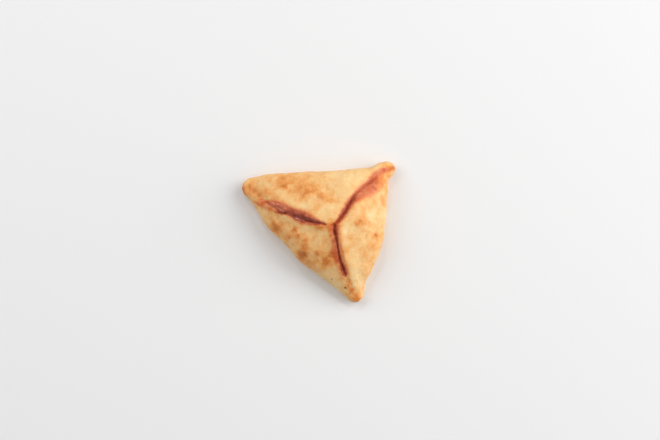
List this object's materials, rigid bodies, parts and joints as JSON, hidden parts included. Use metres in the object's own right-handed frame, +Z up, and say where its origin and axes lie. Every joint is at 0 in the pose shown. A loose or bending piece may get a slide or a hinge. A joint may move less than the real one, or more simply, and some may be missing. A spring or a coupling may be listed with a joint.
{
  "type": "turnover",
  "caption": "Three-cornered baked dough turnover, uncut, with puffed panels meeting along pinched, lapped seams, on a flat base.",
  "frame": {"origin": "middle of the base, under the middle of the outline's box", "axes": "+Z up from the flat base; +X to the right along the long straight side, as seen from above; +Y to the back, towards that side"},
  "size_m": [0.0954, 0.0878, 0.0289],
  "materials": {
    "crust": "baked dough, golden with toasted patches, matte with a slight sheen, dark juice in the seams"
  },
  "bodies": {
    "root": {"crust": "crust"}
  },
  "joints": []
}
